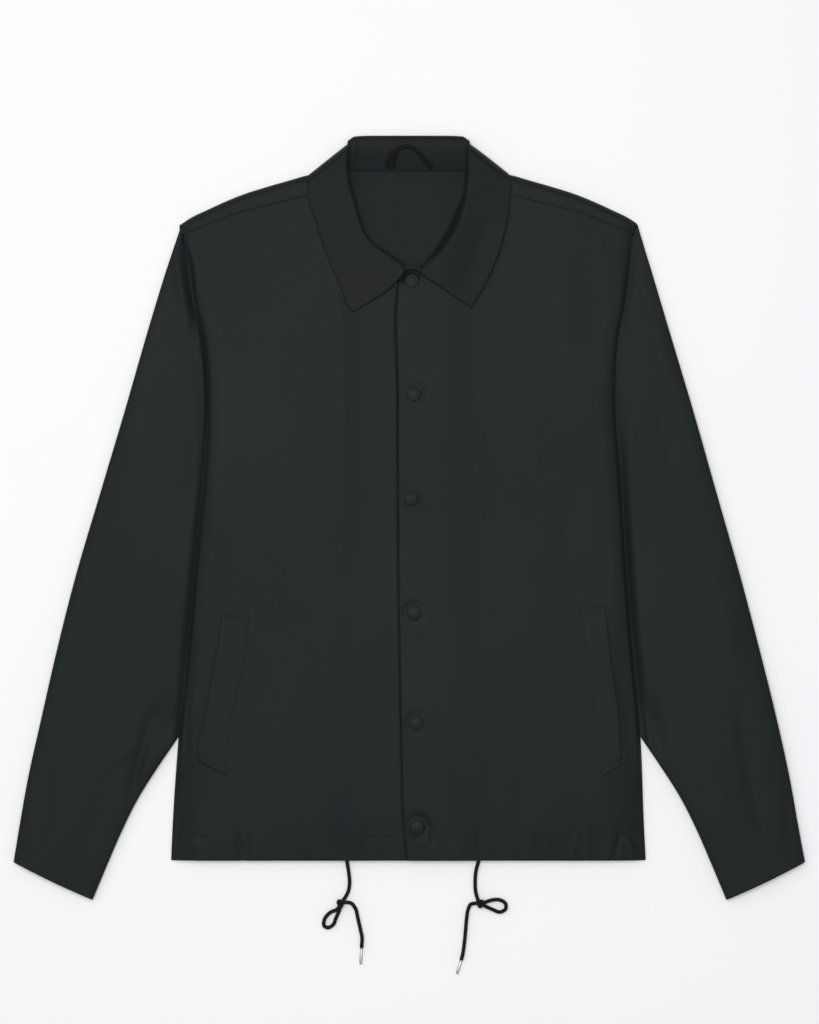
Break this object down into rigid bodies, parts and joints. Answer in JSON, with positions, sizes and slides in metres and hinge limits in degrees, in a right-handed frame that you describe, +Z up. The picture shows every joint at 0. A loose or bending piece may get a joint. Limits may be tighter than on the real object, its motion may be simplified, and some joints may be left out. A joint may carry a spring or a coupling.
{
  "type": "coach jacket laid flat",
  "caption": "Plain dark nylon coach jacket laid flat on its back: fold-down collar, snap front, slanted welt pockets, long sleeves and a hem drawcord with knotted ends.",
  "frame": {"origin": "on the surface under the middle of the jacket's box, the drawcord's hanging ends left out", "axes": "+X to the wearer's left, which is the picture's right, +Y towards the collar, +Z up out of the front"},
  "size_m": [0.8164, 0.8647, 0.0177],
  "materials": {
    "shell_nylon": "fine plain-weave nylon, dull with a slight sheen",
    "inside_nylon": "inside of the nylon shell, dull",
    "collar_nylon": "fine plain-weave nylon, stiffened",
    "loop_tape": "folded self-fabric tape, stitched",
    "snap_paint": "matt paint on a pressed cap",
    "cord_braid": "round braided cord",
    "tip_metal": "crimped nickel tube"
  },
  "bodies": {
    "root": {"back": "inside_nylon", "front_right": "shell_nylon", "yoke_right": "shell_nylon", "sleeve_right": "shell_nylon", "welt_right": "shell_nylon", "collar_right": "collar_nylon", "front_left": "shell_nylon", "yoke_left": "shell_nylon", "sleeve_left": "shell_nylon", "welt_left": "shell_nylon", "collar_left": "collar_nylon", "collar_stand": "collar_nylon", "hanger_loop": "loop_tape", "snap_1": "snap_paint", "snap_2": "snap_paint", "snap_3": "snap_paint", "snap_4": "snap_paint", "snap_5": "snap_paint", "snap_6": "snap_paint", "drawcord_lead_right": "cord_braid", "drawcord_loop_right": "cord_braid", "drawcord_tail_right": "cord_braid", "knot_right": "cord_braid", "aglet_right": "tip_metal", "drawcord_lead_left": "cord_braid", "drawcord_loop_left": "cord_braid", "drawcord_tail_left": "cord_braid", "knot_left": "cord_braid", "aglet_left": "tip_metal"}
  },
  "joints": []
}
